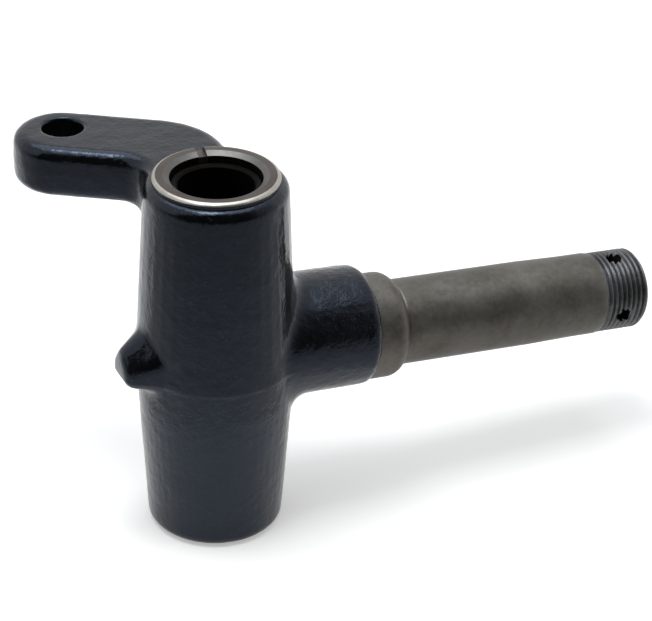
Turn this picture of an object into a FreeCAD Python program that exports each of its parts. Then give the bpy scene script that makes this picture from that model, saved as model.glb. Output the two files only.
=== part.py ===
# Steering knuckle: one forging with a kingpin barrel, a wheel spindle, a steering arm and a stop lug,
# and the two plain bushes that are pressed into the barrel. Millimetres.
# The origin is where the spindle's axis crosses the kingpin's axis. +Z runs up the kingpin, +X leans
# along the spindle, and the steering arm leaves the barrel towards +Y.

import FreeCAD, Part
import Sketcher
import os
from math import atan2, cos, hypot, pi, radians, sin, tan

os.makedirs("parts", exist_ok=True)
doc = FreeCAD.newDocument("SteeringKnuckle")

# Driving dimensions

SIZES = [
    # The kingpin barrel, as forged
    ("barrel_top", 77.2),             # machined upper face above the origin
    ("barrel_bottom", 77.0),          # machined lower face below the origin
    ("ridge_drop", 2.9),              # parting ridge below the origin
    ("ridge_radius", 31.85),
    ("upper_draft", 2.8),             # degrees
    ("lower_draft", 3.65),            # degrees
    ("ridge_edge_radius", 25.0),
    ("base_edge_radius", 4.4),
    ("top_edge_radius", 5.0),         # rim of the barrel and top edge of the arm
    # The machined ring on the upper face
    ("ring_radius", 24.8),
    ("ring_height", 2.0),             # above the forged rim
    ("ring_bevel_width", 1.7),
    ("ring_bevel_height", 0.9),
    ("grease_slot_width", 3.6),
    ("grease_slot_depth", 1.9),
    ("grease_groove_depth", 0.8),     # into the bore's wall
    ("grease_slot_angle", 82.0),      # degrees from +X
    # The kingpin bore
    ("housing_radius", 18.0),
    ("mouth_chamfer_width", 2.4),
    ("mouth_chamfer_depth", 1.3),
    ("relief_radius", 19.5),          # grease space between the bushes
    ("relief_taper", 1.5),
    # The bushes
    ("bush_wall", 3.0),
    ("bush_length", 36.0),
    ("bush_setback", 4.0),            # below the machined face
    ("bush_chamfer", 0.8),
    # The forged boss that carries the spindle
    ("spindle_droop", 4.0),           # degrees below level
    ("boss_radius", 24.4),            # at its end
    ("boss_draft", 0.7),              # degrees
    ("boss_end", 63.0),
    ("boss_lift", 1.9),               # forged centre above the turned centre
    ("boss_edge_radius", 4.4),
    ("boss_root_radius", 8.0),
    # The turned spindle
    ("shoulder_radius", 21.5),
    ("shoulder_end", 77.2),
    ("shoulder_nose_radius", 6.5),
    ("inner_seat_radius", 17.5),
    ("inner_seat_end", 138.0),
    ("outer_seat_radius", 17.1),
    ("outer_seat_start", 158.0),
    ("runout_length", 0.8),
    ("thread_start", 170.3),
    ("thread_radius", 16.8),
    ("spindle_end", 190.8),
    ("end_chamfer", 1.0),
    ("centre_hole_radius", 3.2),
    ("centre_hole_depth", 5.5),
    ("split_pin_radius", 2.6),
    ("split_pin_place", 179.7),       # along the spindle
    ("split_pin_angle", 84.0),        # first hole, degrees from -Y to up
    ("split_pin_step", 98.0),         # between the two holes
    # The steering arm
    ("arm_angle", 147.6),             # direction of the straight part, degrees from +X
    ("arm_offset", 30.95),            # centre line of the straight part from the kingpin axis
    ("arm_width", 38.5),
    ("arm_thickness", 21.3),
    ("arm_draft", 2.0),               # degrees
    ("arm_root_side", 16.1),          # outer side of the root from the kingpin axis
    ("arm_bend_radius", 32.7),
    ("arm_bottom_edge_radius", 4.6),
    ("arm_root_radius", 12.0),
    ("eye_reach", 67.0),              # eye centre along the arm
    ("tie_rod_hole_radius", 8.0),
    ("tie_rod_hole_shift", 2.3),      # hole off the eye's centre, towards the arm's back
    ("tie_rod_hole_chamfer", 0.6),
    # The stop lug
    ("lug_reach", 40.6),              # end face from the kingpin axis
    ("lug_root_inset", 24.0),         # root section from the kingpin axis
    ("lug_root_width", 34.4),
    ("lug_end_width", 15.0),
    ("lug_root_shoulder", 9.5),       # height where the sides lean in to the crown
    ("lug_end_shoulder", 0.5),
    ("lug_root_crown", 8.0),          # width of the crown
    ("lug_end_crown", 5.0),
    ("lug_root_top", 20.5),
    ("lug_end_top", 7.0),
    ("lug_bottom", 6.4),              # below the origin
    ("lug_crown_radius", 4.5),
    ("lug_shoulder_radius", 8.0),
    ("lug_lower_radius", 3.0),
    ("lug_end_radius", 4.0),
    ("lug_root_radius", 4.0),
]

sheet = doc.addObject("Spreadsheet::Sheet", "Sizes")
for row, (name, value) in enumerate(SIZES, start=1):
    sheet.set(f"A{row}", name)
    sheet.set(f"B{row}", str(value))
    sheet.setAlias(f"B{row}", name)
doc.recompute()


def size(name):
    """The number that the sheet holds under this name."""
    return float(sheet.get(name))


# Helpers for sketches and features

NEAR = 0.05    # how close a point counts as lying on a surface


def origin_plane(body, role):
    """One of the body's own origin planes, such as XY_Plane."""
    return next(f for f in body.Origin.OriginFeatures if f.Role == role)


def new_sketch(body, name, role, shift=("0", "0", "0"), turn="0", roll="0"):
    """A sketch on an origin plane, moved by shift, turned about the plane's normal and then rolled about
    the sketch's own horizontal axis. All are expressions."""
    sketch = body.newObject("Sketcher::SketchObject", name)
    sketch.AttachmentSupport = (origin_plane(body, role), [""])
    sketch.MapMode = "FlatFace"
    place = f"create(<<vector>>; {shift[0]}; {shift[1]}; {shift[2]})"
    turning = f"create(<<rotation>>; create(<<vector>>; 0; 0; 1); {turn})"
    rolling = f"create(<<rotation>>; create(<<vector>>; 1; 0; 0); {roll})"
    sketch.setExpression("AttachmentOffset", f"create(<<placement>>; {place}; {turning} * {rolling})")
    doc.recompute()
    return sketch


def value_of(sketch, text):
    """The number that an expression gives in the sketch."""
    result = sketch.evalExpression(text)
    return float(getattr(result, "Value", result))


def fix_distance(sketch, geometry, position, kind, text):
    """Tie one coordinate of a point to an expression."""
    if text == "0":
        axis = -2 if kind == "DistanceX" else -1
        sketch.addConstraint(Sketcher.Constraint("PointOnObject", geometry, position, axis))
        return
    number = value_of(sketch, text)
    index = sketch.addConstraint(Sketcher.Constraint(kind, -1, 1, geometry, position, number))
    sketch.setExpression(f"Constraints[{index}]", text)


def fix_point(sketch, geometry, position, x_text, y_text):
    """Tie a point's two coordinates to expressions."""
    fix_distance(sketch, geometry, position, "DistanceX", x_text)
    fix_distance(sketch, geometry, position, "DistanceY", y_text)


def draw_outline(sketch, corners, arcs=None):
    """A closed outline. corners are pairs of expressions. arcs gives, for the corner that an arc starts
    from, the arc's centre as a pair of expressions and 1 for anticlockwise or -1 for clockwise."""
    arcs = arcs or {}
    places = [FreeCAD.Vector(value_of(sketch, x), value_of(sketch, y), 0) for x, y in corners]
    count = len(corners)
    ends = []
    for i, start in enumerate(places):
        stop = places[(i + 1) % count]
        if i in arcs:
            (centre_x, centre_y), sense = arcs[i]
            centre = FreeCAD.Vector(value_of(sketch, centre_x), value_of(sketch, centre_y), 0)
            circle = Part.Circle(centre, FreeCAD.Vector(0, 0, 1), (start - centre).Length)
            angles = [atan2(p.y - centre.y, p.x - centre.x) for p in (start, stop)]
            if sense < 0:
                angles.reverse()
            if angles[1] <= angles[0]:
                angles[1] += 2 * pi
            sketch.addGeometry(Part.ArcOfCircle(circle, *angles))
            ends.append((1, 2) if sense > 0 else (2, 1))
        else:
            sketch.addGeometry(Part.LineSegment(start, stop))
            ends.append((1, 2))
    for i in range(count):
        following = (i + 1) % count
        sketch.addConstraint(Sketcher.Constraint(
            "Coincident", i, ends[i][1], following, ends[following][0]))
    for i, (x_text, y_text) in enumerate(corners):
        fix_point(sketch, i, ends[i][0], x_text, y_text)
    for i, (centre, _) in arcs.items():
        chord = places[(i + 1) % count] - places[i]
        along_x = abs(chord.y) > abs(chord.x)
        fix_distance(sketch, i, 3, *(("DistanceX", centre[0]) if along_x else ("DistanceY", centre[1])))
    doc.recompute()


def draw_circle(sketch, x_text, y_text, radius):
    """A circle whose centre and radius are tied to expressions."""
    centre = FreeCAD.Vector(value_of(sketch, x_text), value_of(sketch, y_text), 0)
    sketch.addGeometry(Part.Circle(centre, FreeCAD.Vector(0, 0, 1), value_of(sketch, radius)))
    fix_point(sketch, 0, 3, x_text, y_text)
    index = sketch.addConstraint(Sketcher.Constraint("Radius", 0, value_of(sketch, radius)))
    sketch.setExpression(f"Constraints[{index}]", radius)
    doc.recompute()


def turned(body, name, sketch, axis="V_Axis", cut=False):
    """Revolve a profile about one of its sketch's axes, as metal or as a cut."""
    feature = body.newObject("PartDesign::Groove" if cut else "PartDesign::Revolution", name)
    feature.Profile = sketch
    feature.ReferenceAxis = (sketch, [axis])
    feature.Angle = 360
    doc.recompute()
    return feature


def drilled(body, name, sketch):
    """Cut a sketch right through the body, both ways from its plane."""
    feature = body.newObject("PartDesign::Pocket", name)
    feature.Profile = sketch
    feature.SideType = "Symmetric"
    feature.Type = "ThroughAll"
    doc.recompute()
    return feature


def rounded(body, name, base, radius, chosen):
    """Fillet the edges of the base feature that the test picks."""
    edges = [f"Edge{i}" for i, edge in enumerate(base.Shape.Edges, start=1) if chosen(edge)]
    feature = body.newObject("PartDesign::Fillet", name)
    feature.Base = (base, edges)
    feature.setExpression("Radius", radius)
    doc.recompute()
    return feature


def along(edge, count=5):
    """Points spread over an edge."""
    first, last = edge.ParameterRange
    return [edge.valueAt(first + (last - first) * i / (count - 1)) for i in range(count)]


def at_wall(point):
    """True for a point on the barrel's drafted outside."""
    rise = point.z + size("ridge_drop")
    draft = size("upper_draft") if rise > 0 else size("lower_draft")
    radius = size("ridge_radius") - abs(rise) * tan(radians(draft))
    return abs(hypot(point.x, point.y) - radius) < NEAR


def new_body(name):
    body = doc.addObject("PartDesign::Body", name)
    body.Label = name
    return body


# The forging

def draw_arm(body):
    """The arm's outline at its parting height, drafted up and down, with its lower edge rounded."""
    centre_height = "Sizes.barrel_top - Sizes.ring_height - Sizes.arm_thickness / 2"
    sketch = new_sketch(body, "ArmOutline", "XY_Plane", shift=("0", "0", centre_height))
    along_x, along_y = "cos(Sizes.arm_angle)", "sin(Sizes.arm_angle)"
    across_x, across_y = "sin(Sizes.arm_angle)", "-cos(Sizes.arm_angle)"
    back = "(Sizes.arm_offset + Sizes.arm_width / 2)"
    front = "(Sizes.arm_offset - Sizes.arm_width / 2)"
    bend_x = "(Sizes.arm_root_side - Sizes.arm_bend_radius)"
    bend_y = (f"((({back} - Sizes.arm_bend_radius) - {bend_x} * {across_x}) / ({across_y}))")
    eye_x = f"(Sizes.eye_reach * {along_x} + Sizes.arm_offset * {across_x})"
    eye_y = f"(Sizes.eye_reach * {along_y} + Sizes.arm_offset * ({across_y}))"
    half = "Sizes.arm_width / 2"
    corners = [
        ("Sizes.arm_root_side", "0"),
        ("Sizes.arm_root_side", bend_y),
        (f"{bend_x} + Sizes.arm_bend_radius * {across_x}",
         f"{bend_y} + Sizes.arm_bend_radius * ({across_y})"),
        (f"{eye_x} + {half} * {across_x}", f"{eye_y} + {half} * ({across_y})"),
        (f"{eye_x} - {half} * {across_x}", f"{eye_y} - {half} * ({across_y})"),
        (f"{front} * {across_x}", f"{front} * ({across_y})"),
    ]
    arcs = {
        1: ((bend_x, bend_y), 1),
        3: ((eye_x, eye_y), 1),
    }
    draw_outline(sketch, corners, arcs)
    pad = body.newObject("PartDesign::Pad", "Arm")
    pad.Profile = sketch
    pad.SideType = "Two sides"
    for side in ("", "2"):
        pad.setExpression("Length" + side, "Sizes.arm_thickness / 2")
        pad.setExpression("TaperAngle" + side, "-Sizes.arm_draft")
    doc.recompute()
    floor = size("barrel_top") - size("ring_height") - size("arm_thickness")

    def on_floor(edge):
        return all(abs(p.z - floor) < NEAR for p in along(edge))

    return rounded(body, "ArmLowerEdge", pad, "Sizes.arm_bottom_edge_radius", on_floor)


def draw_barrel(body):
    """The barrel up to its forged rim, joined to the arm by one soft fillet."""
    rim = "(Sizes.barrel_top - Sizes.ring_height)"
    sketch = new_sketch(body, "BarrelProfile", "XZ_Plane")
    draw_outline(sketch, [
        ("0", "-Sizes.barrel_bottom"),
        ("Sizes.ridge_radius - (Sizes.barrel_bottom - Sizes.ridge_drop) * tan(Sizes.lower_draft)",
         "-Sizes.barrel_bottom"),
        ("Sizes.ridge_radius", "-Sizes.ridge_drop"),
        (f"Sizes.ridge_radius - ({rim} + Sizes.ridge_drop) * tan(Sizes.upper_draft)", rim),
        ("0", rim),
    ])
    barrel = turned(body, "Barrel", sketch)
    rim_height = size("barrel_top") - size("ring_height")

    def round_ridge(edge):
        return all(abs(p.z + size("ridge_drop")) < NEAR and at_wall(p) for p in along(edge))

    def at_base(edge):
        return all(abs(p.z + size("barrel_bottom")) < NEAR and at_wall(p) for p in along(edge))

    def at_arm(edge):
        points = along(edge)
        behind = all(p.y > size("arm_root_side") for p in points)
        level = all(abs(p.z - rim_height) < NEAR for p in points)
        return behind and not level and all(at_wall(p) for p in points)

    def at_lug(edge):
        points = along(edge)
        heights = [p.z for p in points]
        ahead = all(p.x < -size("housing_radius") for p in points)
        beside = all(abs(p.y) < size("lug_root_width") / 2 for p in points)
        level = -size("lug_bottom") - 1 < min(heights) and max(heights) < size("lug_root_top")
        crosses = max(heights) - min(heights) > NEAR or heights[0] < -size("ridge_drop")
        return ahead and beside and level and crosses and all(at_wall(p) for p in points)

    def at_rim(edge):
        return all(abs(p.z - rim_height) < NEAR for p in along(edge))

    step = rounded(body, "ArmRoot", barrel, "Sizes.arm_root_radius", at_arm)
    step = rounded(body, "TopEdge", step, "Sizes.top_edge_radius", at_rim)
    step = rounded(body, "BaseEdge", step, "Sizes.base_edge_radius", at_base)
    step = rounded(body, "RidgeEdge", step, "Sizes.ridge_edge_radius", round_ridge)
    return rounded(body, "LugFillet", step, "Sizes.lug_root_radius", at_lug)


def draw_lug(body):
    """The stop lug: a wedge lofted out of the barrel, with a crowned top and rounded edges."""
    sections = []
    for name, place, end in (("LugRoot", "lug_root_inset", "root"), ("LugEnd", "lug_reach", "end")):
        sketch = new_sketch(body, name, "YZ_Plane", shift=("0", "0", f"-Sizes.{place}"))
        half = f"Sizes.lug_{end}_width / 2"
        crown = f"Sizes.lug_{end}_crown / 2"
        shoulder, top = f"Sizes.lug_{end}_shoulder", f"Sizes.lug_{end}_top"
        draw_outline(sketch, [
            (f"-{half}", "-Sizes.lug_bottom"),
            (half, "-Sizes.lug_bottom"),
            (half, shoulder),
            (crown, top),
            (f"-{crown}", top),
            (f"-{half}", shoulder),
        ])
        sections.append(sketch)
    loft = body.newObject("PartDesign::AdditiveLoft", "Lug")
    loft.Profile = sections[0]
    loft.Sections = [sections[1]]
    loft.Ruled = True
    doc.recompute()

    def between(point, quantity):
        share = (-point.x - size("lug_root_inset")) / (size("lug_reach") - size("lug_root_inset"))
        root = size(f"lug_root_{quantity}")
        return root + share * (size(f"lug_end_{quantity}") - root)

    def on_line(edge, width, height):
        return all(abs(abs(p.y) - between(p, width) / 2) < NEAR and abs(p.z - height(p)) < NEAR
                   for p in along(edge))

    def crown_edge(edge):
        return on_line(edge, "crown", lambda p: between(p, "top"))

    def shoulder_edge(edge):
        return on_line(edge, "width", lambda p: between(p, "shoulder"))

    def lower_edge(edge):
        return on_line(edge, "width", lambda p: -size("lug_bottom"))

    def end_edge(edge):
        return all(abs(p.x + size("lug_reach")) < NEAR for p in along(edge))

    step = rounded(body, "LugShoulder", loft, "Sizes.lug_shoulder_radius", shoulder_edge)
    step = rounded(body, "LugCrown", step, "Sizes.lug_crown_radius", crown_edge)
    step = rounded(body, "LugLowerEdge", step, "Sizes.lug_lower_radius", lower_edge)
    return rounded(body, "LugEndEdge", step, "Sizes.lug_end_radius", end_edge)


def draw_boss(body):
    """The forged boss round the spindle's root. Its own axis lies above the turned one."""
    lift_x = "Sizes.boss_lift * sin(Sizes.spindle_droop)"
    lift_z = "Sizes.boss_lift * cos(Sizes.spindle_droop)"
    sketch = new_sketch(body, "BossProfile", "XZ_Plane", shift=(lift_x, lift_z, "0"),
                        turn="-Sizes.spindle_droop")
    draw_outline(sketch, [
        ("0", "0"),
        ("0", "Sizes.boss_radius + Sizes.boss_end * tan(Sizes.boss_draft)"),
        ("Sizes.boss_end", "Sizes.boss_radius"),
        ("Sizes.boss_end", "0"),
    ])
    boss = turned(body, "Boss", sketch, "H_Axis")
    droop = radians(size("spindle_droop"))

    def end_edge(edge):
        reaches = [p.x * cos(droop) - p.z * sin(droop) for p in along(edge)]
        return all(abs(reach - size("boss_end")) < NEAR for reach in reaches)

    def root_edge(edge):
        points = along(edge)
        reach = size("boss_radius") + size("boss_lift") + size("boss_edge_radius")
        near = all(p.x > 0 and abs(p.y) < reach and abs(p.z) < reach for p in points)
        crosses = max(p.y for p in points) - min(p.y for p in points) > NEAR
        return near and crosses and all(at_wall(p) for p in points)

    step = rounded(body, "BossEdge", boss, "Sizes.boss_edge_radius", end_edge)
    return rounded(body, "BossFillet", step, "Sizes.boss_root_radius", root_edge)


def draw_spindle(body):
    """The turned shoulder, the two bearing seats and the threaded end, in one profile."""
    sketch = new_sketch(body, "SpindleProfile", "XZ_Plane", turn="-Sizes.spindle_droop")
    nose_height = "(Sizes.shoulder_radius - Sizes.shoulder_nose_radius)"
    nose_start = ("(Sizes.shoulder_end - sqrt(pow(Sizes.shoulder_nose_radius; 2)"
                  f" - pow(Sizes.inner_seat_radius - {nose_height}; 2)))")
    draw_outline(sketch, [
        ("0", "0"),
        ("0", "Sizes.shoulder_radius"),
        (nose_start, "Sizes.shoulder_radius"),
        ("Sizes.shoulder_end", "Sizes.inner_seat_radius"),
        ("Sizes.inner_seat_end", "Sizes.inner_seat_radius"),
        ("Sizes.outer_seat_start", "Sizes.outer_seat_radius"),
        ("Sizes.thread_start - Sizes.runout_length", "Sizes.outer_seat_radius"),
        ("Sizes.thread_start", "Sizes.thread_radius"),
        ("Sizes.spindle_end - Sizes.end_chamfer", "Sizes.thread_radius"),
        ("Sizes.spindle_end", "Sizes.thread_radius - Sizes.end_chamfer"),
        ("Sizes.spindle_end", "0"),
    ], {2: ((nose_start, nose_height), -1)})
    return turned(body, "Spindle", sketch, "H_Axis")


def draw_ring(body):
    """The machined ring that stands above the forged rim, with a bevel round it."""
    sketch = new_sketch(body, "RingProfile", "XZ_Plane")
    draw_outline(sketch, [
        ("0", "Sizes.barrel_top - 3 * Sizes.ring_height"),
        ("Sizes.ring_radius", "Sizes.barrel_top - 3 * Sizes.ring_height"),
        ("Sizes.ring_radius", "Sizes.barrel_top - Sizes.ring_bevel_height"),
        ("Sizes.ring_radius - Sizes.ring_bevel_width", "Sizes.barrel_top"),
        ("0", "Sizes.barrel_top"),
    ])
    return turned(body, "Ring", sketch)


def cut_bore(body):
    """The kingpin bore: a bush housing at each end and a wider grease space between them."""
    mouth = "Sizes.housing_radius + Sizes.mouth_chamfer_width"
    seat = "(Sizes.bush_setback + Sizes.bush_length + Sizes.relief_taper)"
    relief = f"({seat} + Sizes.relief_taper)"
    wall, wide = "Sizes.housing_radius", "Sizes.relief_radius"
    sketch = new_sketch(body, "BoreProfile", "XZ_Plane")
    draw_outline(sketch, [
        ("0", "-Sizes.barrel_bottom"),
        (mouth, "-Sizes.barrel_bottom"),
        (wall, "Sizes.mouth_chamfer_depth - Sizes.barrel_bottom"),
        (wall, f"{seat} - Sizes.barrel_bottom"),
        (wide, f"{relief} - Sizes.barrel_bottom"),
        (wide, f"Sizes.barrel_top - {relief}"),
        (wall, f"Sizes.barrel_top - {seat}"),
        (wall, "Sizes.barrel_top - Sizes.mouth_chamfer_depth"),
        (mouth, "Sizes.barrel_top"),
        ("0", "Sizes.barrel_top"),
    ])
    return turned(body, "Bore", sketch, cut=True)


def cut_grease_slot(body):
    """The slot across the ring, and the shallow groove that leads from it down to the bush."""
    inner = "Sizes.housing_radius / 2"
    half = "Sizes.grease_slot_width / 2"
    for name, outer, depth in (
            ("GreaseSlot", "Sizes.ring_radius + Sizes.ring_height", "Sizes.grease_slot_depth"),
            ("GreaseGroove", "Sizes.housing_radius + Sizes.grease_groove_depth", "Sizes.bush_setback")):
        sketch = new_sketch(body, name + "Outline", "XY_Plane", shift=("0", "0", "Sizes.barrel_top"),
                            turn="Sizes.grease_slot_angle")
        draw_outline(sketch, [(inner, f"-{half}"), (outer, f"-{half}"), (outer, half), (inner, half)])
        pocket = body.newObject("PartDesign::Pocket", name)
        pocket.Profile = sketch
        pocket.setExpression("Length", depth)
        doc.recompute()


def cut_tie_rod_hole(body):
    """The vertical hole in the arm's eye, slightly broken at both edges."""
    sketch = new_sketch(body, "TieRodHoleOutline", "XY_Plane")
    across = "(Sizes.arm_offset + Sizes.tie_rod_hole_shift)"
    draw_circle(sketch,
                f"Sizes.eye_reach * cos(Sizes.arm_angle) + {across} * sin(Sizes.arm_angle)",
                f"Sizes.eye_reach * sin(Sizes.arm_angle) - {across} * cos(Sizes.arm_angle)",
                "Sizes.tie_rod_hole_radius")
    hole = drilled(body, "TieRodHole", sketch)

    def at_mouth(edge):
        round_edge = edge.Curve.TypeId == "Part::GeomCircle"
        return round_edge and abs(edge.Curve.Radius - size("tie_rod_hole_radius")) < NEAR

    chamfer = body.newObject("PartDesign::Chamfer", "TieRodHoleEdges")
    edges = [f"Edge{i}" for i, edge in enumerate(hole.Shape.Edges, start=1) if at_mouth(edge)]
    chamfer.Base = (hole, edges)
    chamfer.setExpression("Size", "Sizes.tie_rod_hole_chamfer")
    doc.recompute()


def cut_split_pin_holes(body):
    """Two crossing holes through the threaded end."""
    for number, angle in (("1", "Sizes.split_pin_angle"),
                          ("2", "(Sizes.split_pin_angle - Sizes.split_pin_step)")):
        sketch = new_sketch(body, "SplitPinOutline" + number, "XZ_Plane", turn="-Sizes.spindle_droop",
                            roll=f"-{angle}")
        draw_circle(sketch, "Sizes.split_pin_place", "0", "Sizes.split_pin_radius")
        drilled(body, "SplitPinHole" + number, sketch)


def cut_centre_hole(body):
    """The lathe centre in the spindle's free end."""
    sketch = new_sketch(body, "CentreHoleProfile", "XZ_Plane", turn="-Sizes.spindle_droop")
    draw_outline(sketch, [
        ("Sizes.spindle_end", "0"),
        ("Sizes.spindle_end - Sizes.centre_hole_depth", "0"),
        ("Sizes.spindle_end", "Sizes.centre_hole_radius"),
    ])
    turned(body, "CentreHole", sketch, "H_Axis", cut=True)


def draw_forging():
    """The one-piece forging, from its blank to its machined surfaces."""
    body = new_body("knuckle_forging")
    draw_arm(body)
    draw_lug(body)
    draw_barrel(body)
    draw_boss(body)
    draw_spindle(body)
    draw_ring(body)
    cut_bore(body)
    cut_grease_slot(body)
    cut_tie_rod_hole(body)
    cut_split_pin_holes(body)
    cut_centre_hole(body)
    return body


# The bushes

def draw_bush(name, lower_end):
    """A plain bush in its housing, with both ends of its bore and of its outside broken."""
    body = new_body(name)
    sketch = new_sketch(body, name + "_profile", "XZ_Plane")
    bore = "(Sizes.housing_radius - Sizes.bush_wall)"
    outside = "Sizes.housing_radius"
    upper_end = f"({lower_end} + Sizes.bush_length)"
    draw_outline(sketch, [
        (f"{bore} + Sizes.bush_chamfer", lower_end),
        (f"{outside} - Sizes.bush_chamfer", lower_end),
        (outside, f"{lower_end} + Sizes.bush_chamfer"),
        (outside, f"{upper_end} - Sizes.bush_chamfer"),
        (f"{outside} - Sizes.bush_chamfer", upper_end),
        (f"{bore} + Sizes.bush_chamfer", upper_end),
        (bore, f"{upper_end} - Sizes.bush_chamfer"),
        (bore, f"{lower_end} + Sizes.bush_chamfer"),
    ])
    turned(body, name + "_turned", sketch)
    return body


pieces = [
    draw_forging(),
    draw_bush("upper_kingpin_bush", "(Sizes.barrel_top - Sizes.bush_setback - Sizes.bush_length)"),
    draw_bush("lower_kingpin_bush", "(Sizes.bush_setback - Sizes.barrel_bottom)"),
]
doc.recompute()

# Checks and export

for item in doc.Objects:
    if {"Invalid", "Error"} & set(item.State):
        raise RuntimeError(f"{item.Name} did not build: {item.State}")

for item in doc.Objects:
    if not item.isDerivedFrom("PartDesign::Feature"):
        continue
    cuts = item.TypeId in ("PartDesign::Pocket", "PartDesign::Groove")
    if cuts and item.Shape.Volume > item.BaseFeature.Shape.Volume - 1:
        raise RuntimeError(f"{item.Name} took no metal away")

for piece in pieces:
    shape = piece.Shape
    if shape.isNull() or not shape.isValid() or len(shape.Solids) != 1:
        raise RuntimeError(f"{piece.Label} is not one sound solid")
    shape.exportStep(f"parts/{piece.Label}.step")
    print(piece.Label, round(shape.Volume / 1000, 2), "cm3")
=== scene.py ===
from math import asin, atan2, cos, exp, hypot, pi, radians, sin, sqrt, tanh

import bmesh
import bpy
from mathutils import Matrix, Vector, noise
from mathutils.bvhtree import BVHTree


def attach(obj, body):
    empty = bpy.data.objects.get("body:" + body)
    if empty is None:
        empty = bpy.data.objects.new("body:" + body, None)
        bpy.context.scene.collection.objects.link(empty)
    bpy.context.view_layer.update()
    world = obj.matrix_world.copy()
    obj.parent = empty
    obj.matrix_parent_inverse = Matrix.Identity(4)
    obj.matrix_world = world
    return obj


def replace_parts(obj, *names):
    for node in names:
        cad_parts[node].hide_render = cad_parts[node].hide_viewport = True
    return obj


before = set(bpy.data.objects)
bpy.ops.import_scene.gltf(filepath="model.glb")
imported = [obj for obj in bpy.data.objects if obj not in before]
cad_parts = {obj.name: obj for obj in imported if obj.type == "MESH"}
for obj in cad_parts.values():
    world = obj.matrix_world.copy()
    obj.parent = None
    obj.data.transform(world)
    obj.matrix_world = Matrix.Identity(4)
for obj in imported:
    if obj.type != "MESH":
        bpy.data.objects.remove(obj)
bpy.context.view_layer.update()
MM = 0.001

# Sizes and places of the solids, in millimetres

TOP = 77.2                # machined upper face
BOTTOM = -77.0            # machined lower face
RIM = 75.2                # forged rim
PARTING = -2.9            # where the two dies met on the barrel
RING_RADIUS = 24.8
LOWER_FACE_RADIUS = 22.9  # inside the rounded lower edge
HOUSING_RADIUS = 18.0
MOUTH_WIDTH = 2.4
MOUTH_DEPTH = 1.3
RELIEF_RADIUS = 19.5
SLOT_WIDTH = 3.6
SLOT_DEPTH = 1.9
GROOVE_DEPTH = 0.8
BUSH_SETBACK = 4.0
BUSH_LENGTH = 36.0
DROOP = radians(4.0)      # of the spindle below level
BOSS_END = 63.0
SHOULDER_RADIUS = 21.5
SHOULDER_END = 77.2
NOSE_RADIUS = 6.5
SEAT_RADIUS = 17.5
SEAT_END = 138.0
OUTER_SEAT_RADIUS = 17.1
OUTER_SEAT_START = 158.0
THREAD_START = 170.3
THREAD_RADIUS = 16.8
SPINDLE_END = 190.8
CENTRE_RADIUS = 3.2
CENTRE_DEPTH = 5.5
PIN_RADIUS = 2.6
PIN_PLACE = 179.7         # along the spindle
PIN_ANGLES = (radians(84.0), radians(-14.0))

SPINDLE_AXIS = Vector((cos(DROOP), 0.0, -sin(DROOP)))
SPINDLE_UP = Vector((sin(DROOP), 0.0, cos(DROOP)))

# Sizes and places of the scene's own detail, in millimetres. Those of the slot, the bevel, the pitch and
# the spindle's end follow the photograph, a little off the solids.

SLOT_ANGLE = radians(84.0)
BEVEL_WIDTH = 1.5
BEVEL_HEIGHT = 1.1
BEVEL_SWEEP = (radians(10.0), radians(52.0))
PITCH = 2.31
RUN_OUT = 0.9             # pitches over which the thread grows to its full depth
END_RADIUS = 15.3         # of the end face inside its chamfer
SKIN_GRID = 0.8           # grid on which the painted skin is meshed
SKIN_CATCH = 0.6          # how near the nominal surface a point is drawn onto it
SKIN_SMOOTHING = 3
PRESSED_FACE = RIM - 0.3  # the ring's face, pressed below the rim while the skin is meshed
PRESSED_END = BOSS_END - 3.0
PRESSED_RADIUS = 15.0     # of the spindle, pressed into the boss meanwhile
PLUG_RADIUS = 22.5        # of the plug that closes the bore meanwhile
PLUG_TOP = RIM - 0.35
PLUG_BOTTOM = BOTTOM + 0.6
LUG_ROOT = 29.0           # how far from the kingpin axis the lug's own surface starts
LUG_HALF_WIDTH = 22.0
LUG_HALF_HEIGHT = 26.0
LUG_SMOOTHING = 14
BOSS_RANGE = (28.0, 36.0)    # along X, where the lumps grow towards the boss
BARREL_RANGE = (27.0, 21.0)  # along X, where the parting starts to show on the barrel
SKIN_DEPTH = 0.1             # of the painted skin below the nominal surface, on average
WIDE_LUMPS = 0.06
FINE_LUMPS = 0.045
BOSS_LUMPS = 0.06            # added to the fine ones on the boss
PARTING_STEP = 0.13          # by which the lower die's half of the barrel sits deeper
STEP_WIDTH = 0.45
FLASH_WIDTH = 0.6

# Camera

PHOTO_WIDTH = 652.0
FOCAL_LENGTH = 2500.0     # in pixels of the photograph
AZIMUTH, ELEVATION, ROLL = radians(-25.74), radians(30.29), radians(1.71)
AIM = Vector((42.9, -10.2, 13.3)) * MM
DISTANCE = 0.9875         # from the aim, in metres

back = Vector((sin(AZIMUTH) * cos(ELEVATION), -cos(AZIMUTH) * cos(ELEVATION), sin(ELEVATION)))
level = Vector((cos(AZIMUTH), sin(AZIMUTH), 0.0))
raised = back.cross(level)
right = level * cos(ROLL) + raised * sin(ROLL)
up = raised * cos(ROLL) - level * sin(ROLL)

camera_data = bpy.data.cameras.new("camera")
camera_data.sensor_width = 36.0
camera_data.lens = FOCAL_LENGTH / PHOTO_WIDTH * camera_data.sensor_width
camera_data.clip_end = 50.0
camera = bpy.data.objects.new("camera", camera_data)
facing = Matrix((right, up, back)).transposed().to_4x4()
camera.matrix_world = Matrix.Translation(AIM + back * DISTANCE) @ facing
bpy.context.collection.objects.link(camera)
bpy.context.scene.camera = camera
bpy.context.scene.view_settings.view_transform = "Standard"

# Painted reflection in front of the object, in metres, seen only by the gloss: a glowing sheet over the
# floor that dims with distance from the kingpin axis, up to a dark shell that ends where the overhead
# softbox begins

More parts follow.
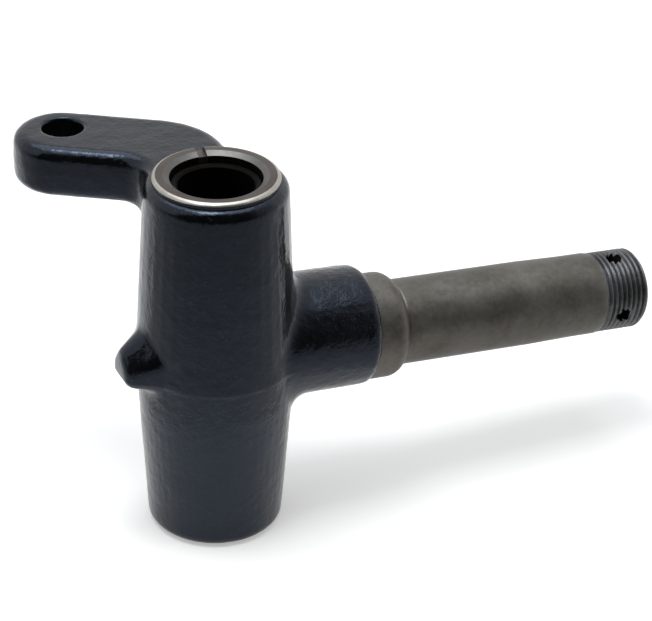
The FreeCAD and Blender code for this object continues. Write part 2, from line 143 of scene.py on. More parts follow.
PAINTED_FLOOR_GLOW = ((0.1, 1.0), (0.17, 0.92), (0.2, 0.82), (0.3, 0.62),
              (0.36, 0.6), (0.45, 0.56), (0.62, 0.44))
FLOOR_LIFT = 0.0003       # of the dim floor above the real one
SHELL_GLOW = 0.02
SHELL_TOP_GLOW = 0.1
SHELL_TOP_BAND = radians(8.0)
BOX_EDGE_SLOPE = 0.37     # forward run of the softbox's front edge for each metre of height
LOWEST_TOP = radians(12.0)
OPEN_FROM, OPEN_TO = radians(46.0), radians(104.0)   # turn from the camera's side, where the bay opens
OPEN_GLOW = 0.75
SIDE_COLUMNS = 40
SHELL_STEPS = 24


def fade(value, start, stop):
    """0 up to start, 1 from stop on and even between them."""
    return min(1.0, max(0.0, (value - start) / (stop - start)))


# Helpers for nodes


class Tree:
    """A node tree with short calls to add nodes and links."""

    def __init__(self, tree):
        self.tree = tree

    def add(self, kind, settings=None, **inputs):
        node = self.tree.nodes.new(kind)
        for name, value in (settings or {}).items():
            setattr(node, name, value)
        for name, value in inputs.items():
            self.feed(node, name.replace("_", " "), value)
        return node

    def feed(self, node, name, value):
        socket = node.inputs[int(name)] if name.isdigit() else node.inputs[name]
        if isinstance(value, bpy.types.NodeSocket):
            self.tree.links.new(value, socket)
        else:
            socket.default_value = value

    def noise(self, place, scale, detail, roughness=0.5):
        node = self.add("ShaderNodeTexNoise", Vector=place, Scale=scale, Detail=detail,
                        Roughness=roughness)
        return node.outputs["Fac"]

    def ramp(self, factor, *stops):
        node = self.add("ShaderNodeValToRGB", Fac=factor)
        band = node.color_ramp
        while len(band.elements) < len(stops):
            band.elements.new(0.5)
        for element, (position, value) in zip(band.elements, stops):
            element.position = position
            element.color = (value, value, value, 1.0)
        return node.outputs["Color"]

    def math(self, operation, a, b):
        node = self.add("ShaderNodeMath", {"operation": operation})
        self.feed(node, "0", a)
        self.feed(node, "1", b)
        return node.outputs[0]

    def length(self, vector):
        node = self.add("ShaderNodeVectorMath", {"operation": "LENGTH"})
        self.feed(node, "0", vector)
        return node.outputs["Value"]

    def mix(self, factor, a, b):
        node = self.add("ShaderNodeMix", {"data_type": "RGBA"})
        for index, value in ((0, factor), (6, a), (7, b)):
            if isinstance(value, tuple):
                value = (*value, 1.0)
            self.feed(node, str(index), value)
        return node.outputs[2]


def make_group(name, inputs, outputs, build):
    """A shader node group. inputs give names and starting numbers, outputs names and kinds of socket."""
    group = bpy.data.node_groups.new(name, "ShaderNodeTree")
    group.interface.new_socket("Place", in_out="INPUT", socket_type="NodeSocketVector")
    for label, start in inputs.items():
        socket = group.interface.new_socket(label, in_out="INPUT", socket_type="NodeSocketFloat")
        socket.default_value = start
    for label, kind in outputs.items():
        group.interface.new_socket(label, in_out="OUTPUT", socket_type="NodeSocket" + kind)
    tree = Tree(group)
    entry = group.nodes.new("NodeGroupInput")
    exit_node = group.nodes.new("NodeGroupOutput")
    for label, socket in build(tree, entry.outputs).items():
        group.links.new(socket, exit_node.inputs[label])
    return group


def make_material(name, **constants):
    """A new material, its tree, its Principled shader and object coordinates."""
    material = bpy.data.materials.new(name)
    material.use_nodes = True
    tree = Tree(material.node_tree)
    shader = material.node_tree.nodes["Principled BSDF"]
    for label, value in constants.items():
        shader.inputs[label.replace("_", " ")].default_value = value
    place = tree.add("ShaderNodeTexCoord").outputs["Object"]
    return material, tree, shader, place


def use_group(tree, group, place, **inputs):
    """Places a group in a material with its own numbers."""
    node = tree.add("ShaderNodeGroup", {"node_tree": group})
    tree.feed(node, "Place", place)
    for label, value in inputs.items():
        tree.feed(node, label, value)
    return node.outputs


# Effects that several materials share

def build_blotches(tree, entry):
    """Uneven patches with finer ones inside them."""
    wide = tree.noise(entry["Place"], entry["Scale"], 4.0, 0.6)
    fine_scale = tree.math("MULTIPLY", entry["Scale"], 7.0)
    fine = tree.noise(entry["Place"], fine_scale, 2.0, 0.55)
    both = tree.math("ADD", tree.math("MULTIPLY", wide, 0.7), tree.math("MULTIPLY", fine, 0.3))
    return {"Mask": tree.ramp(both, (0.36, 0.0), (0.64, 1.0))}


def build_specks(tree, entry):
    """Small scattered dots."""
    cells = tree.add("ShaderNodeTexVoronoi", Vector=entry["Place"], Scale=entry["Scale"])
    return {"Mask": tree.ramp(cells.outputs["Distance"], (0.08, 1.0), (0.2, 0.0))}


def build_turning(tree, entry):
    """Fine tool marks round an axis through the origin, on cylinders and on faces, broken up a little.
    Tilt turns that axis about Y from the X axis, down for positive angles."""
    spin = tree.add("ShaderNodeVectorRotate", {"rotation_type": "Y_AXIS"}, Vector=entry["Place"])
    tree.feed(spin, "Angle", tree.math("MULTIPLY", entry["Tilt"], -1.0))
    spread = tree.add("ShaderNodeVectorMath", {"operation": "MULTIPLY"})
    tree.feed(spread, "0", spin.outputs["Vector"])
    tree.feed(spread, "1", (0.0, 1.0, 1.0))
    radius = tree.length(spread.outputs["Vector"])
    along = tree.add("ShaderNodeSeparateXYZ", Vector=spin.outputs["Vector"]).outputs["X"]
    across = tree.math("ADD", along, tree.math("MULTIPLY", radius, 1.37))
    drift = tree.math("MULTIPLY", tree.noise(entry["Place"], 60.0, 2.0), 0.0006)
    place = tree.add("ShaderNodeCombineXYZ", X=tree.math("ADD", across, drift)).outputs["Vector"]
    coarse = tree.noise(place, entry["Scale"], 3.0, 0.7)
    fine = tree.noise(place, tree.math("MULTIPLY", entry["Scale"], 3.7), 2.0, 0.6)
    height = tree.math("ADD", tree.math("MULTIPLY", coarse, 0.6), tree.math("MULTIPLY", fine, 0.4))
    return {"Height": height}


BLOTCHES = make_group("blotches", {"Scale": 60.0}, {"Mask": "Float"}, build_blotches)
SPECKS = make_group("specks", {"Scale": 400.0}, {"Mask": "Float"}, build_specks)
TURNING = make_group("turning_marks", {"Scale": 1500.0, "Tilt": 0.0}, {"Height": "Float"}, build_turning)


def add_bump(tree, shader, height, distance, strength):
    bump = tree.add("ShaderNodeBump", Height=height, Distance=distance, Strength=strength)
    tree.feed(shader, "Normal", bump.outputs["Normal"])


# Materials

def cast_skin_height(tree, place):
    """Orange peel over the shallow lumps of a forged skin, with finer pits on the boss."""
    peel = tree.noise(place, 560.0, 2.0, 0.5)
    lumps = tree.noise(place, 123.2, 3.0, 0.55)
    skin = tree.math("ADD", tree.math("MULTIPLY", peel, 0.35), lumps)
    along = tree.add("ShaderNodeSeparateXYZ", Vector=place).outputs["X"]
    on_boss = tree.ramp(tree.math("DIVIDE", along, BOSS_END * MM), (0.48, 0.0), (0.66, 1.0))
    pits = tree.math("MULTIPLY", tree.noise(place, 900.0, 2.0, 0.6), tree.math("MULTIPLY", on_boss, 0.5))
    return tree.math("ADD", skin, pits)


def paint_material():
    """Glossy navy paint, nearly black, that shows its blue in the gloss."""
    material, tree, shader, place = make_material(
        "navy_paint", Specular_IOR_Level=0.4, Specular_Tint=(0.63, 0.76, 1.0, 1.0))
    dirt = use_group(tree, BLOTCHES, place, Scale=55.0)["Mask"]
    specks = use_group(tree, SPECKS, place, Scale=330.0)["Mask"]
    body = tree.mix(dirt, (0.0019, 0.0019, 0.0018), (0.0035, 0.0037, 0.0044))
    body = tree.mix(tree.math("MULTIPLY", specks, 0.25), body, (0.04, 0.048, 0.07))
    tree.feed(shader, "Base Color", body)
    tree.feed(shader, "Roughness", tree.ramp(dirt, (0.0, 0.12), (1.0, 0.22)))
    add_bump(tree, shader, cast_skin_height(tree, place), 0.0004, 0.75)
    return material


def steel_material(name, dark, light, rough, marks, tilt, depth=0.00003, speck=0.15):
    """Bare metal with tool marks round a tilted axis, faint stains and small dark specks."""
    material, tree, shader, place = make_material(name, Metallic=0.9)
    stain = use_group(tree, BLOTCHES, place, Scale=62.0)["Mask"]
    grain = tree.noise(place, 1500.0, 2.0, 0.6)
    specks = use_group(tree, SPECKS, place, Scale=420.0)["Mask"]
    shade = tree.math("ADD", tree.math("MULTIPLY", stain, 0.6), tree.math("MULTIPLY", grain, 0.4))
    colour = tree.mix(tree.ramp(shade, (0.2, 0.0), (0.8, 1.0)), dark, light)
    colour = tree.mix(tree.math("MULTIPLY", specks, speck), colour, tuple(c * 0.4 for c in dark))
    tree.feed(shader, "Base Color", colour)
    tree.feed(shader, "Roughness", tree.ramp(stain, (0.0, rough), (1.0, rough + 0.08)))
    turning = use_group(tree, TURNING, place, Scale=marks, Tilt=tilt)["Height"]
    add_bump(tree, shader, turning, depth, 0.8)
    return material


UPWARD = -pi / 2          # tilt of the tool marks round the kingpin axis
PAINT = paint_material()
SEAT_STEEL = steel_material(
    "turned_steel", (0.083, 0.077, 0.066), (0.144, 0.135, 0.120), rough=0.43, marks=900.0, tilt=DROOP)
SHOULDER_STEEL = steel_material(
    "shoulder_steel", (0.080, 0.074, 0.065), (0.147, 0.135, 0.121),
    rough=0.43, marks=600.0, tilt=DROOP, depth=0.00006)
THREAD_STEEL = steel_material(
    "thread_steel", (0.07, 0.071, 0.073), (0.17, 0.171, 0.175), rough=0.34, marks=1200.0, tilt=DROOP)
FACE_STEEL = steel_material(
    "faced_steel", (0.058, 0.047, 0.042), (0.088, 0.073, 0.066), rough=0.36, marks=900.0, tilt=UPWARD)
# A lighter copy of the faced steel for the mouth chamfer: painted light where the chamfer catches the
# lamps
CHAMFER_LIT_STEEL = steel_material(
    "mouth_chamfer_painted_light", (0.085, 0.08, 0.077), (0.13, 0.123, 0.118), rough=0.4, marks=700.0, tilt=UPWARD)
# Steel of the bevel, far lighter than the faced steel: partly fresh turning, partly a painted highlight
# where the bevel catches the key softbox
BEVEL_STEEL = steel_material(
    "bright_bevel", (0.34, 0.325, 0.285), (0.44, 0.42, 0.37),
    rough=0.28, marks=900.0, tilt=UPWARD, depth=0.00002, speck=0.05)
# Near-black walls of the bore: painted shade of the deep bore, on steel like that of the faces
BORE_SHADE_STEEL = steel_material(
    "bore_steel_painted_shade", (0.006, 0.005, 0.004), (0.02, 0.016, 0.012), rough=0.45, marks=500.0, tilt=UPWARD)
# Near-black bronze for the bushes: painted shade deep in the bore
BUSH_SHADE_METAL = steel_material(
    "bronze_painted_shade", (0.002, 0.0015, 0.001), (0.005, 0.0038, 0.0026), rough=0.6, marks=500.0, tilt=UPWARD)
# Near-black walls of the pin holes and the lathe centre: painted shade inside the holes
HOLE_SHADE_STEEL = steel_material(
    "drilled_hole", (0.01, 0.01, 0.011), (0.025, 0.025, 0.026), rough=0.5, marks=900.0, tilt=DROOP)

# Helpers for meshes


def new_mesh(name, made):
    """Turns bmesh data into a mesh and frees the data."""
    mesh = bpy.data.meshes.new(name)
    made.to_mesh(mesh)
    made.free()
    return mesh


def new_object(name, data):
    thing = bpy.data.objects.new(name, data)
    bpy.context.collection.objects.link(thing)
    return thing


def add_piece(name, mesh, materials, matrix=None, sharp=35.0):
    """An object from a mesh, smooth except at sharp edges, riding on the one body."""
    for material in materials:
        mesh.materials.append(material)
    mesh.shade_smooth()
    mesh.set_sharp_from_angle(angle=radians(sharp))
    if matrix:
        mesh.transform(matrix)
    piece = new_object(name, mesh)
    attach(piece, "root")
    return piece


def lathe(profile, steps=192, closed=False):
    """A mesh turned round the local X axis. profile holds (place, radius, material index) in millimetres,
    where the index is that of the band that follows. A radius of 0 closes the end."""
    made = bmesh.new()
    rings = []
    for place, radius, _ in profile:
        if radius == 0.0:
            rings.append([made.verts.new((place * MM, 0.0, 0.0))] * steps)
            continue
        rings.append([made.verts.new((place * MM, -radius * MM * cos(2 * pi * i / steps),
                                      radius * MM * sin(2 * pi * i / steps))) for i in range(steps)])
    pairs = list(zip(rings, rings[1:], profile))
    if closed:
        pairs.append((rings[-1], rings[0], profile[-1]))
    for near, far, (_, _, index) in pairs:
        for i in range(steps):
            j = (i + 1) % steps
            corners = dict.fromkeys((near[i], near[j], far[j], far[i]))
            made.faces.new(list(corners)).material_index = index
    bmesh.ops.recalc_face_normals(made, faces=made.faces)
    return new_mesh("lathe", made)


def arc_points(centre, radius, start, stop, count, index):
    """Profile points on an arc, from one angle to another."""
    points = []
    for i in range(count + 1):
        angle = start + (stop - start) * i / count
        points.append((centre[0] + radius * cos(angle), centre[1] + radius * sin(angle), index))
    return points


def spaced(start, stop, radius_start, radius_stop, count, index):
    """Profile points on a straight run, without its last point."""
    points = []
    for i in range(count):
        share = i / count
        radius = radius_start + (radius_stop - radius_start) * share
        points.append((start + (stop - start) * share, radius, index))
    return points


ALONG_SPINDLE = Matrix((SPINDLE_AXIS, Vector((0.0, 1.0, 0.0)), SPINDLE_UP)).transposed().to_4x4()
UPRIGHT = Matrix(((0.0, 0.0, -1.0), (0.0, 1.0, 0.0), (1.0, 0.0, 0.0))).to_4x4()


# The painted skin

def along_spindle(point):
    """Distance along the spindle and from its axis, in millimetres."""
    place = point.dot(SPINDLE_AXIS) / MM
    return place, (point / MM - SPINDLE_AXIS * place).length


def press_in(point):
    """Moves the machined ends of the forging inside its painted skin."""
    place, radius = along_spindle(point)
    if place > BOSS_END + 0.05:
        side = point / MM - SPINDLE_AXIS * place
        shrink = min(1.0, PRESSED_RADIUS / max(radius, 0.01))
        return (SPINDLE_AXIS * PRESSED_END + side * shrink) * MM
    reach = hypot(point.x, point.y) / MM
    if reach < RING_RADIUS + 0.1 and point.z / MM > PRESSED_FACE:
        return Vector((point.x, point.y, PRESSED_FACE * MM))
    return point.copy()


def forging_blank():
    """The forging's own surface as one closed mesh, its bore plugged and its turned ends pressed in."""
    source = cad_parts["knuckle_forging"]
    blank = bmesh.new()
    blank.from_mesh(source.data)
    blank.transform(source.matrix_world)
    bmesh.ops.remove_doubles(blank, verts=blank.verts, dist=1e-6)
    for vertex in blank.verts:
        vertex.co = press_in(vertex.co)
    middle = Matrix.Translation((0.0, 0.0, (PLUG_TOP + PLUG_BOTTOM) / 2 * MM))
    bmesh.ops.create_cone(blank, cap_ends=True, segments=96, radius1=PLUG_RADIUS * MM,
                          radius2=PLUG_RADIUS * MM, depth=(PLUG_TOP - PLUG_BOTTOM) * MM, matrix=middle)
    bmesh.ops.triangulate(blank, faces=blank.faces)
    return blank


def even_skin(blank):
    """An even mesh over the blank, drawn back onto its surface."""
    nominal = BVHTree.FromBMesh(blank)
    helper = new_object("blank", new_mesh("blank", blank))
    remesh = helper.modifiers.new("remesh", "REMESH")
    remesh.mode = "VOXEL"
    remesh.voxel_size = SKIN_GRID * MM
    graph = bpy.context.evaluated_depsgraph_get()
    even = bpy.data.meshes.new_from_object(helper.evaluated_get(graph))
    bpy.data.objects.remove(helper)
    skin = bmesh.new()
    skin.from_mesh(even)
    bpy.data.meshes.remove(even)
    for vertex in skin.verts:
        spot, _, _, distance = nominal.find_nearest(vertex.co)
        if distance < SKIN_CATCH * MM:
            vertex.co = spot
    return skin


def on_lug(point):
    """Whether a point is on the stop lug, clear of the barrel."""
    return (point.x < -LUG_ROOT * MM and abs(point.y) < LUG_HALF_WIDTH * MM
            and abs(point.z) < LUG_HALF_HEIGHT * MM)


def under_machined(point):
    """Whether a point of the skin is hidden by a machined piece, by a margin that keeps the seam shut."""
    place, radius = along_spindle(point)
    reach = hypot(point.x, point.y) / MM
    height = point.z / MM
    return (place > BOSS_END - 6 and radius < SHOULDER_RADIUS - 0.6
            or reach < RING_RADIUS - 1.0 and height > RIM - 3
            or reach < LOWER_FACE_RADIUS - 0.5 and height < BOTTOM + 3)


def skin_depth(point):
    """How far the skin lies below the nominal surface, in millimetres. It is lumpy, most of all on the
    boss. The lower half of the barrel sits a little deeper, and a faint flash line stands where the dies
    met."""
    wide = noise.fractal(point * 75.0, 0.9, 2.0, 3)
    fine = noise.fractal(point * 260.0, 0.8, 2.0, 2)
    on_boss = fade(point.x / MM, *BOSS_RANGE)
    lumps = max(0.0, SKIN_DEPTH + WIDE_LUMPS * wide + (FINE_LUMPS + BOSS_LUMPS * on_boss) * fine)
    rise = point.z / MM - PARTING
    near_barrel = fade(point.x / MM, *BARREL_RANGE)
    step = PARTING_STEP * (0.5 - 0.5 * tanh(rise / STEP_WIDTH)) * near_barrel
    flash = near_barrel * exp(-(rise / FLASH_WIDTH) ** 2)
    return (lumps + step) * (1.0 - 0.85 * flash)


def painted_skin():
    """The forged surfaces under their paint, open where the machined surfaces take over."""
    skin = even_skin(forging_blank())
    lug = [vertex for vertex in skin.verts if on_lug(vertex.co)]
    for verts, rounds in ((skin.verts, SKIN_SMOOTHING), (lug, LUG_SMOOTHING)):
        for _ in range(rounds):
            bmesh.ops.smooth_vert(skin, verts=verts, factor=0.5,
                                  use_axis_x=True, use_axis_y=True, use_axis_z=True)
    hidden = [vertex for vertex in skin.verts if under_machined(vertex.co)]
    bmesh.ops.delete(skin, geom=hidden, context="VERTS")
    loose = [vertex for vertex in skin.verts if not vertex.link_faces]
    bmesh.ops.delete(skin, geom=loose, context="VERTS")
    wires = [edge for edge in skin.edges if edge.is_wire]
    bmesh.ops.delete(skin, geom=wires, context="EDGES")
    skin.normal_update()
    moves = [(vertex, vertex.normal * (-MM * skin_depth(vertex.co))) for vertex in skin.verts]
    for vertex, move in moves:
        vertex.co += move
    mesh = new_mesh("painted_skin", skin)
    return add_piece("painted_skin", mesh, [PAINT], sharp=180.0)


# The machined surfaces

def cut_away(piece, cutters, sharp):
    """Takes the cutters out of the piece and removes them."""
    for cutter in cutters:
        change = piece.modifiers.new("cut", "BOOLEAN")
        change.operation = "DIFFERENCE"
        change.solver = "EXACT"
        change.object = cutter
    graph = bpy.context.evaluated_depsgraph_get()
    mesh = bpy.data.meshes.new_from_object(piece.evaluated_get(graph))
    piece.modifiers.clear()
    piece.data = mesh
    mesh.shade_smooth()
    mesh.set_sharp_from_angle(angle=radians(sharp))
    for cutter in cutters:
        bpy.data.objects.remove(cutter)


def lathe_cutter(name, profile, matrix):
    """A turned cutter. The walls that it leaves take the piece's second material."""
    cutter = new_object(name, lathe([(*point, 1) for point in profile], 48))
    cutter.matrix_world = matrix
    return cutter


def slot_cutter(name, inner, outer, floor, ceiling):
    """A box across the ring at the slot's angle."""
    made = bmesh.new()
    bmesh.ops.create_cube(made, size=1.0)
    size = Vector((outer - inner, SLOT_WIDTH, ceiling - floor)) * MM
    centre = Vector(((outer + inner) / 2, 0.0, (floor + ceiling) / 2)) * MM
    turn = Matrix.Rotation(SLOT_ANGLE, 4, "Z")
    cutter = new_object(name, new_mesh(name, made))
    cutter.matrix_world = turn @ Matrix.Translation(centre) @ Matrix.Diagonal((*size, 1.0))
    return cutter


def bevel_points(face, radius, index):
    """The ring's bevel, rounded over outwards, without its last point."""
    start, stop = BEVEL_SWEEP
    size = BEVEL_WIDTH / (sin(stop) - sin(start))
    drop = BEVEL_HEIGHT / (cos(start) - cos(stop))
    count = 10
    points = []
    for i in range(count):
        angle = start + (stop - start) * i / count
        points.append((face - drop * (cos(start) - cos(angle)),
                       radius - BEVEL_WIDTH + size * (sin(angle) - sin(start)), index))
    return points


def upper_ring():
    """The raised ring with its bevel, the mouth of the bore and the wall down to the bush."""
    deep = TOP - BUSH_SETBACK - 0.5
    # The bore's wall takes the steel painted near black with the bore's shade
    materials = [FACE_STEEL, BEVEL_STEEL, BORE_SHADE_STEEL, PAINT, CHAMFER_LIT_STEEL]
    face, bevel, bore, paint, chamfer = range(len(materials))
    profile = [
        (deep, RING_RADIUS - 2.0, bore),
        *spaced(deep, TOP - MOUTH_DEPTH, HOUSING_RADIUS, HOUSING_RADIUS, 4, bore),
        (TOP - MOUTH_DEPTH, HOUSING_RADIUS, chamfer),
        (TOP - 0.05, HOUSING_RADIUS + MOUTH_WIDTH - 0.09, chamfer),
        (TOP, HOUSING_RADIUS + MOUTH_WIDTH, face),
        *bevel_points(TOP, RING_RADIUS, bevel),
        (TOP - BEVEL_HEIGHT, RING_RADIUS, paint),
        (RIM - 1.5, RING_RADIUS, paint),
        (RIM - 1.5, RING_RADIUS - 2.0, paint),
    ]
    turned = lathe(profile, 240, closed=True)
    ring = add_piece("upper_ring", turned, materials, UPRIGHT, 18.0)
    cut_away(ring, [
        slot_cutter("slot", HOUSING_RADIUS / 2, RING_RADIUS + 2, TOP - SLOT_DEPTH, TOP + 2),
        slot_cutter("groove", HOUSING_RADIUS / 2, HOUSING_RADIUS + GROOVE_DEPTH, deep - 2, TOP + 2),
    ], 18.0)


def lower_ring():
    """The lower machined face and the mouth of the bore above it."""
    deep = BOTTOM + BUSH_SETBACK + 0.5
    materials = [FACE_STEEL, BORE_SHADE_STEEL]
    face, bore = range(len(materials))
    profile = [
        (deep, RING_RADIUS - 4.0, bore),
        (deep, HOUSING_RADIUS, bore),
        (BOTTOM + MOUTH_DEPTH, HOUSING_RADIUS, face),
        (BOTTOM, HOUSING_RADIUS + MOUTH_WIDTH, face),
        (BOTTOM, LOWER_FACE_RADIUS, face),
        (BOTTOM + 1.0, LOWER_FACE_RADIUS, face),
    ]
    add_piece("lower_ring", lathe(profile), materials, UPRIGHT)


def grease_space():
    """The wider wall between the two bushes."""
    upper = TOP - BUSH_SETBACK - BUSH_LENGTH + 1.0
    lower = BOTTOM + BUSH_SETBACK + BUSH_LENGTH - 1.0
    profile = [
        (upper, HOUSING_RADIUS, 0),
        (upper - 2.5, HOUSING_RADIUS, 0),
        (upper - 4.0, RELIEF_RADIUS, 0),
        (lower + 4.0, RELIEF_RADIUS, 0),
        (lower + 2.5, HOUSING_RADIUS, 0),
        (lower, HOUSING_RADIUS, 0),
    ]
    wall = add_piece("grease_space", lathe(profile, 128), [BORE_SHADE_STEEL], UPRIGHT)
    wall.data.flip_normals()


def spindle():
    """The shoulder with its round nose, the two bearing seats and the taper between them."""
    nose_height = SHOULDER_RADIUS - NOSE_RADIUS
    nose_start = SHOULDER_END - sqrt(NOSE_RADIUS ** 2 - (SEAT_RADIUS - nose_height) ** 2)
    nose_stop = asin((SEAT_RADIUS - nose_height) / NOSE_RADIUS)
    undercut = SEAT_RADIUS - 0.22
    outer_seat_end = THREAD_START - 0.8
    materials = [SEAT_STEEL, SHOULDER_STEEL]
    seat, shoulder = range(len(materials))
    profile = [
        *spaced(BOSS_END - 7, nose_start, SHOULDER_RADIUS, SHOULDER_RADIUS, 4, shoulder),
        *arc_points((nose_start, nose_height), NOSE_RADIUS, pi / 2, nose_stop + 0.02, 16, shoulder),
        (SHOULDER_END - 0.02, undercut, seat),
        (SHOULDER_END + 0.35, undercut, seat),
        (SHOULDER_END + 0.7, SEAT_RADIUS, seat),
        *spaced(SHOULDER_END + 1.0, SEAT_END, SEAT_RADIUS, SEAT_RADIUS, 20, seat),
        *spaced(SEAT_END, OUTER_SEAT_START, SEAT_RADIUS, OUTER_SEAT_RADIUS, 8, seat),
        *spaced(OUTER_SEAT_START, outer_seat_end, OUTER_SEAT_RADIUS, OUTER_SEAT_RADIUS, 4, seat),
        (outer_seat_end, OUTER_SEAT_RADIUS, seat),
        (THREAD_START, THREAD_RADIUS - 0.1, seat),
        (THREAD_START + 0.2, THREAD_RADIUS - 2.5, seat),
    ]
    add_piece("spindle", lathe(profile, 256), materials, ALONG_SPINDLE)


# The thread's form: share of one pitch, and depth below the crest there in millimetres

THREAD_FORM = ((0.0, 0.0), (0.14, 0.0), (0.2, 0.08), (0.5, 1.3), (0.57, 1.38), (0.64, 1.3),
               (0.94, 0.08), (1.0, 0.0))
THREAD_STOPS = (0.0, 0.07, 0.14, 0.2, 0.3, 0.4, 0.5, 0.57, 0.64, 0.74, 0.84, 0.94)


def thread_depth(share):
    """Depth of the thread at a share of one pitch."""
    for (start, low), (stop, high) in zip(THREAD_FORM, THREAD_FORM[1:]):
        if start <= share <= stop:
            return low + (high - low) * (share - start) / (stop - start)
    return 0.0


def thread_columns(steps):
    """Points of the helical surface as (place, radius), one column for each step round the axis."""
    turns = int((SPINDLE_END - THREAD_START) / PITCH) + 3
    full = THREAD_START + RUN_OUT * PITCH
    columns = []
    for i in range(steps):
        column = []
        for turn in range(-2, turns):
            for stop in THREAD_STOPS:
                place = THREAD_START + (turn + stop + i / steps) * PITCH
                radius = THREAD_RADIUS - thread_depth(stop) * fade(place, THREAD_START, full)
                column.append((place, min(radius, END_RADIUS + SPINDLE_END - place)))
        columns.append(column)
    return columns


def threaded_end():
    """The helical thread with its run-out, the chamfered end and the lathe centre, as one closed mesh."""
    steps = 160
    first = THREAD_START - 0.3
    made = bmesh.new()

    def corner(i, place, radius):
        angle = 2 * pi * i / steps
        return made.verts.new((place * MM, -radius * MM * cos(angle), radius * MM * sin(angle)))

    starts = [corner(i, first, THREAD_RADIUS) for i in range(steps)]
    ends = [corner(i, SPINDLE_END, END_RADIUS) for i in range(steps)]
    mouth = [corner(i, SPINDLE_END, CENTRE_RADIUS) for i in range(steps)]
    inside = corner(0, first, 0.0)
    tip = corner(0, SPINDLE_END - CENTRE_DEPTH, 0.0)

    def surface_corner(i, place, radius):
        if place <= first:
            return starts[i]
        return ends[i] if place >= SPINDLE_END else corner(i, place, radius)

    columns = thread_columns(steps)
    grid = [[surface_corner(i, *point) for point in columns[i]] for i in range(steps)]
    one_turn = len(THREAD_STOPS)
    for i in range(steps):
        j = (i + 1) % steps
        far = grid[j] if j else grid[0][one_turn:] + [ends[0]] * one_turn
        for k in range(len(grid[i]) - 1):
            corners = dict.fromkeys((grid[i][k], grid[i][k + 1], far[k + 1], far[k]))
            if len(corners) > 2:
                made.faces.new(list(corners))
        made.faces.new((starts[i], starts[j], inside))
        made.faces.new((ends[i], ends[j], mouth[j], mouth[i]))
        made.faces.new((mouth[i], mouth[j], tip)).material_index = 1
    bmesh.ops.recalc_face_normals(made, faces=made.faces)
    mesh = new_mesh("thread", made)
    materials = [THREAD_STEEL, HOLE_SHADE_STEEL]
    thread = add_piece("spindle_thread", mesh, materials, ALONG_SPINDLE)
    flare = [(13.5, PIN_RADIUS), (15.2, 3.2), (22.0, 3.4), (22.0, 0.0)]
    hole = [(-run, radius) for run, radius in reversed(flare)] + flare
    place = ALONG_SPINDLE @ Matrix.Translation((PIN_PLACE * MM, 0.0, 0.0))
    cutters = []
    for number, angle in enumerate(PIN_ANGLES):
        aim = Matrix.Rotation(-angle, 4, "X") @ Matrix.Rotation(-pi / 2, 4, "Z")
        cutters.append(lathe_cutter(f"pin_cutter_{number}", hole, place @ aim))
    cut_away(thread, cutters, 35.0)


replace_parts(painted_skin(), "knuckle_forging")
upper_ring()
lower_ring()
grease_space()
spindle()
threaded_end()

# The bushes take bronze painted near black with the bore's shade
for name in ("upper_kingpin_bush", "lower_kingpin_bush"):
    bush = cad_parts[name]
    bush.data.materials.clear()
    bush.data.materials.append(BUSH_SHADE_METAL)

# Floor, backdrop light and lamps

FLOOR_SIZE = 6.0
FLOOR_GAP = 0.05          # of the floor below the lower face, in millimetres


def seen_or_reflected(tree):
    """1 for rays from the camera, from reflections and through glass, 0 for diffuse light."""
    path = tree.add("ShaderNodeLightPath").outputs
    seen = tree.math("MAXIMUM", path["Is Camera Ray"], path["Is Glossy Ray"])
    return tree.math("MAXIMUM", seen, path["Is Transmission Ray"])


def floor_material():
    """Pale and matt, with a painted glow for rays from the camera and reflections, lower near the object,
    so that it is seen near white with the object's shadow kept.
    """
    material, tree, shader, place = make_material(
        "floor", Roughness=0.9, Emission_Color=(1.0, 1.0, 1.0, 1.0))
    tint = use_group(tree, BLOTCHES, place, Scale=3.0)["Mask"]
    tree.feed(shader, "Base Color", tree.mix(tint, (0.885, 0.864, 0.84), (0.905, 0.884, 0.86)))
    # Painted glow: stronger away from the object, seen by the camera and in reflections
    away = tree.math("DIVIDE", tree.length(place), 2.5)
    fill = tree.ramp(away, (0.08, 0.36), (0.3, 0.5), (1.0, 0.7))
    tree.feed(shader, "Emission Strength", tree.math("MULTIPLY", seen_or_reflected(tree), fill))
    return material


def make_floor():
    made = bmesh.new()
    bmesh.ops.create_grid(made, x_segments=8, y_segments=8, size=FLOOR_SIZE)
    bmesh.ops.translate(made, verts=made.verts, vec=(0.0, 0.0, (BOTTOM - FLOOR_GAP) * MM))
    mesh = new_mesh("floor", made)
    mesh.materials.append(floor_material())
    new_object("floor", mesh)


def bay_profile(azimuth):
    """Radius, height and glow along the dark bay's section at one azimuth."""
    points = [(radius, BOTTOM * MM + FLOOR_LIFT, glow) for radius, glow in PAINTED_FLOOR_GLOW]
    shell = points[-1][0]
    low = -asin(-BOTTOM * MM / shell)
    top = max(LOWEST_TOP, atan2(-sin(azimuth), BOX_EDGE_SLOPE))
    for i in range(1, SHELL_STEPS + 1):
        angle = low + (top - low) * i / SHELL_STEPS
        glow = SHELL_GLOW + (SHELL_TOP_GLOW - SHELL_GLOW) * fade(angle, top - SHELL_TOP_BAND, top)
        points.append((shell * cos(angle), shell * sin(angle), glow))
    return points


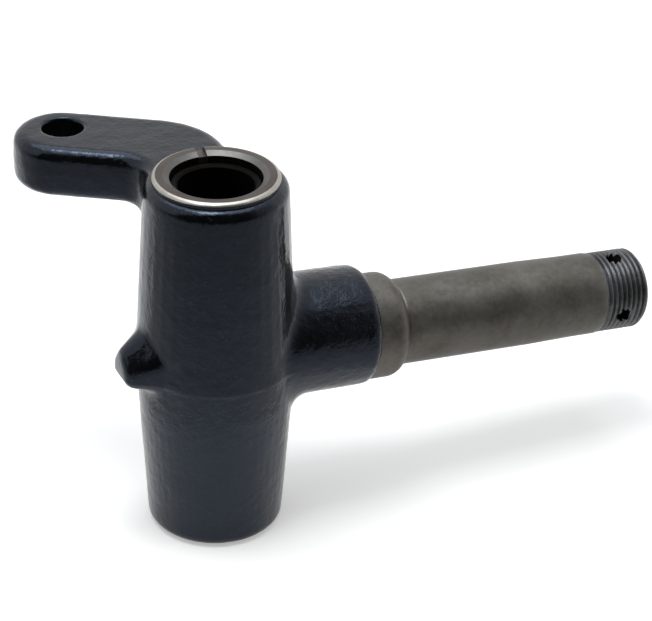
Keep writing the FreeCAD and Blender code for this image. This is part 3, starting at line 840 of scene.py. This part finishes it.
def bay_material():
    """Black, with only its own glow."""
    material, tree, shader, _ = make_material(
        "painted_reflection_bay", Base_Color=(0.0, 0.0, 0.0, 1.0), Roughness=1.0, Specular_IOR_Level=0.0,
        Emission_Strength=1.0)
    # The glow paints the reflected floor and the dark surroundings in front of the object
    glow = tree.add("ShaderNodeAttribute", {"attribute_name": "glow"}).outputs["Fac"]
    tree.feed(shader, "Emission Color", tree.mix(glow, (0.0, 0.0, 0.0), (1.0, 1.0, 1.0)))
    return material


def make_dark_bay():
    """Painted reflection: a glowing sheet over the floor and a dark shell in front of the object, seen
    only in reflections, standing in for the dark flags with which photographers shape gloss. It opens to
    the pale surroundings at both sides."""
    front = atan2(back.y, back.x)
    made = bmesh.new()
    glow_layer = made.verts.layers.float.new("glow")
    columns = []
    for i in range(2 * SIDE_COLUMNS + 1):
        turn = OPEN_TO * (i / SIDE_COLUMNS - 1.0)
        share = fade(abs(turn), OPEN_FROM, OPEN_TO)
        open_share = share * share * (3.0 - 2.0 * share)
        column = []
        for radius, height, glow in bay_profile(front + turn):
            vertex = made.verts.new((radius * cos(front + turn), radius * sin(front + turn), height))
            vertex[glow_layer] = glow + (OPEN_GLOW - glow) * open_share
            column.append(vertex)
        columns.append(column)
    for near, far in zip(columns, columns[1:]):
        for k in range(len(near) - 1):
            made.faces.new((near[k], far[k], far[k + 1], near[k + 1]))
    mesh = new_mesh("painted_reflection_bay", made)
    mesh.materials.append(bay_material())
    bay = new_object("painted_reflection_bay", mesh)
    bay.visible_camera = False
    bay.visible_diffuse = False
    bay.visible_transmission = False
    bay.visible_shadow = False


def make_world():
    """White where it is seen or reflected, and lower as light."""
    world = bpy.data.worlds.new("studio")
    world.use_nodes = True
    bpy.context.scene.world = world
    tree = Tree(world.node_tree)
    background = world.node_tree.nodes["Background"]
    shade = tree.mix(seen_or_reflected(tree), (0.335, 0.335, 0.335), (1.0, 1.0, 1.0))
    tree.feed(background, "Color", shade)


def add_softbox(name, place, size, power, colour):
    """A rectangular lamp that faces straight down."""
    lamp = bpy.data.lights.new(name, "AREA")
    lamp.shape = "RECTANGLE"
    lamp.size, lamp.size_y = size
    lamp.energy = power
    lamp.color = colour
    new_object(name, lamp).location = place


make_floor()
make_dark_bay()
make_world()
add_softbox("overhead_softbox", (0.0, 0.2, 0.95), (1.0, 1.1), 6.5, (0.84, 0.92, 1.0))
add_softbox("key_softbox", (-0.1, -0.02, 0.9), (0.34, 0.3), 3.4, (0.95, 0.98, 1.0))
